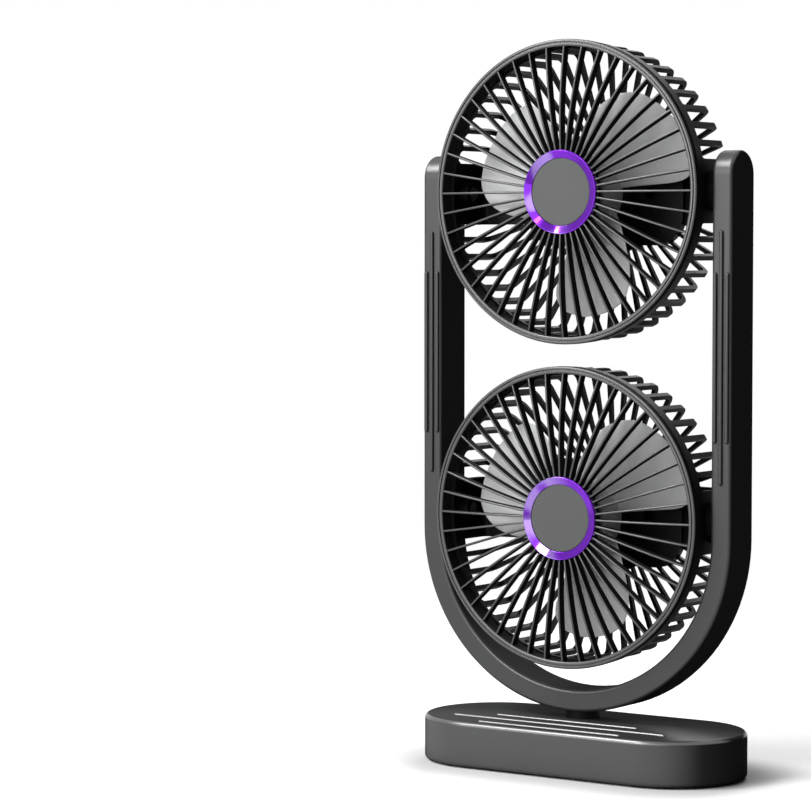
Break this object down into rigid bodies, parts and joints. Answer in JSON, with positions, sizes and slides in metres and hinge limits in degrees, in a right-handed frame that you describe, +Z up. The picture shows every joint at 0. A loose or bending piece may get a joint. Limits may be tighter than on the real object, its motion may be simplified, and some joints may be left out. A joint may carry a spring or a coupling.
{
  "type": "dual-head desk fan",
  "caption": "Desk fan with caged fan heads that tilt one above the other in a tall U-shaped yoke, which swivels on a flat stadium-shaped base.",
  "frame": {"origin": "middle of the base, on the plane that the feet stand on", "axes": "+Z up; air leaves towards -Y; +X is to the right when the fan faces the viewer"},
  "size_m": [0.1738, 0.0754, 0.353],
  "materials": {
    "frame_plastic": "satin gunmetal grey",
    "cage_plastic": "satin black",
    "grille_plastic": "satin grey",
    "blade_plastic": "light grey, semi-gloss",
    "plated_purple": "glossy purple plating",
    "cap_plastic": "fine matt grey",
    "steel": "bright",
    "dark_steel": "blackened",
    "rubber": "matt",
    "pouch": "foil",
    "board": "solder mask",
    "bearing": "smooth white"
  },
  "bodies": {
    "base": {"base_shell": "frame_plastic", "base_plate": "cage_plastic", "rubber_feet": "rubber", "base_screws": "steel", "ballast": "steel", "battery": "pouch", "control_board": "board", "usb_socket": "steel", "tact_switch": "cage_plastic", "swivel_bush": "bearing"},
    "button": {"power_button": "frame_plastic"},
    "yoke": {"yoke_front": "frame_plastic", "yoke_rear": "frame_plastic", "yoke_screws": "dark_steel", "spindle": "cage_plastic", "spindle_clip": "steel", "lower_pivot_bushes": "bearing", "upper_pivot_bushes": "bearing"},
    "lower_head": {"lower_front_grille": "grille_plastic", "lower_hub_ring": "plated_purple", "lower_hub_cap": "cap_plastic", "lower_rear_cage": "cage_plastic", "lower_rear_cover": "cage_plastic", "lower_motor": "steel", "lower_motor_screws": "steel", "lower_pivot_pins": "steel", "lower_pivot_washers": "rubber"},
    "lower_fan": {"lower_impeller": "blade_plastic", "lower_motor_shaft": "steel", "lower_impeller_nut": "steel"},
    "upper_head": {"upper_front_grille": "grille_plastic", "upper_hub_ring": "plated_purple", "upper_hub_cap": "cap_plastic", "upper_rear_cage": "cage_plastic", "upper_rear_cover": "cage_plastic", "upper_motor": "steel", "upper_motor_screws": "steel", "upper_pivot_pins": "steel", "upper_pivot_washers": "rubber"},
    "upper_fan": {"upper_impeller": "blade_plastic", "upper_motor_shaft": "steel", "upper_impeller_nut": "steel"}
  },
  "joints": [
    {"name": "yoke_swivel", "type": "hinge", "parent": "base", "child": "yoke", "pos_m": [0, 0, 0.0249], "axis": [0, 0, 1], "range_deg": [-60, 60]},
    {"name": "button_press", "type": "slide", "parent": "base", "child": "button", "axis": [0, -1, 0], "range_m": [0, 0.0008], "stiffness_N_per_m": 400, "springref_m": -0.002},
    {"name": "lower_tilt", "type": "hinge", "parent": "yoke", "child": "lower_head", "pos_m": [0, 0, 0.12355], "axis": [1, 0, 0], "range_deg": [-90, 90]},
    {"name": "lower_spin", "type": "hinge", "parent": "lower_head", "child": "lower_fan", "pos_m": [0, 0, 0.12355], "axis": [0, 1, 0], "continuous": true},
    {"name": "upper_tilt", "type": "hinge", "parent": "yoke", "child": "upper_head", "pos_m": [0, 0, 0.28005], "axis": [1, 0, 0], "range_deg": [-90, 90]},
    {"name": "upper_spin", "type": "hinge", "parent": "upper_head", "child": "upper_fan", "pos_m": [0, 0, 0.28005], "axis": [0, 1, 0], "continuous": true}
  ]
}
